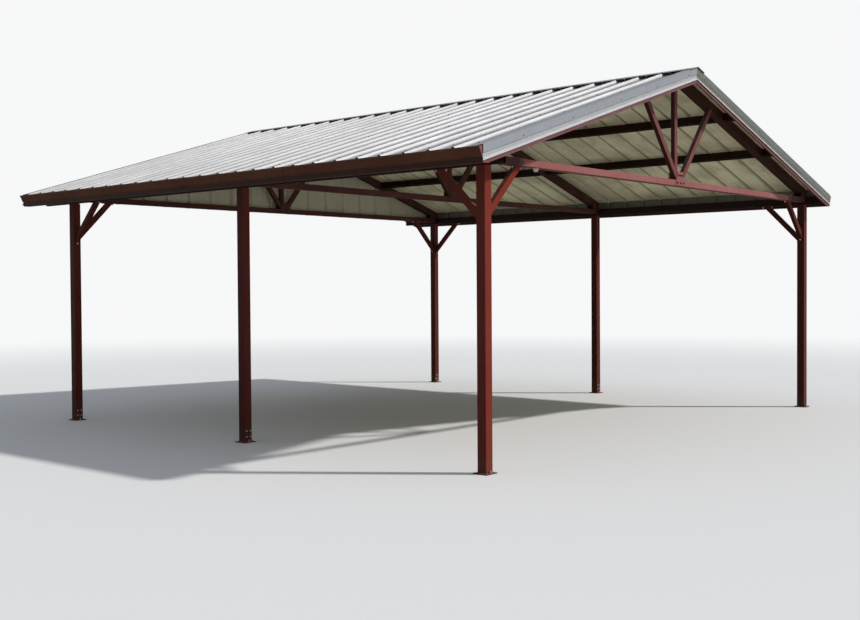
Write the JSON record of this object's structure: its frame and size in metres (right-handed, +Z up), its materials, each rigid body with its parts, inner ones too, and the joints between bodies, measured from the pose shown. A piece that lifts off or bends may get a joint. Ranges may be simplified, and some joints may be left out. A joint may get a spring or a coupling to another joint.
{
  "type": "gable carport",
  "caption": "Open gable carport: square steel posts, bolted trusses and knee braces carry ribbed metal roof sheets, with eave gutters and a sheeted rear gable.",
  "frame": {"origin": "centre of the footprint, on the floor", "axes": "+X to the right across the bay, +Y along the ridge towards the sheeted rear gable, +Z up"},
  "size_m": [8.035, 7.79, 4.2176],
  "materials": {
    "painted_frame": "satin red oxide paint on steel tube",
    "bare_roof_sheet": "bare aluminium-zinc coated steel sheet, weathered",
    "wall_sheet": "grey green backer paint on the inner face of steel sheet",
    "painted_gutter": "satin dark red paint on thin sheet",
    "lamp_white": "white lamp body, dulled by weather"
  },
  "bodies": {
    "root": {"base_plates": "painted_frame", "dome_lamp": "lamp_white", "gutter_left": "painted_gutter", "gutter_right": "painted_gutter", "knee_braces_front_left": "painted_frame", "knee_braces_front_right": "painted_frame", "knee_braces_rear_left": "painted_frame", "knee_braces_rear_right": "painted_frame", "post_front_left": "painted_frame", "post_front_right": "painted_frame", "post_middle_left": "painted_frame", "post_middle_right": "painted_frame", "post_rear_left": "painted_frame", "post_rear_right": "painted_frame", "purlin_lower_left": "painted_frame", "purlin_lower_right": "painted_frame", "purlin_upper_left": "painted_frame", "purlin_upper_right": "painted_frame", "rafter_front_left": "painted_frame", "rafter_front_right": "painted_frame", "rafter_middle_left": "painted_frame", "rafter_middle_right": "painted_frame", "rafter_rear_left": "painted_frame", "rafter_rear_right": "painted_frame", "rake_rafter_front_left": "painted_frame", "rake_rafter_front_right": "painted_frame", "rake_rafter_rear_left": "painted_frame", "rake_rafter_rear_right": "painted_frame", "rake_trim_front_left": "bare_roof_sheet", "rake_trim_front_right": "bare_roof_sheet", "rake_trim_rear_left": "bare_roof_sheet", "rake_trim_rear_right": "bare_roof_sheet", "rear_gable_sheet": "wall_sheet", "ridge_cap": "bare_roof_sheet", "roof_sheet_left": "bare_roof_sheet", "roof_sheet_right": "bare_roof_sheet", "side_beam_left": "painted_frame", "side_beam_right": "painted_frame", "side_closure_left": "wall_sheet", "side_closure_right": "wall_sheet", "tie_front": "painted_frame", "tie_middle": "painted_frame", "tie_rear": "painted_frame", "truss_webs_front": "painted_frame", "truss_webs_middle": "painted_frame", "truss_webs_rear": "painted_frame"}
  },
  "joints": []
}
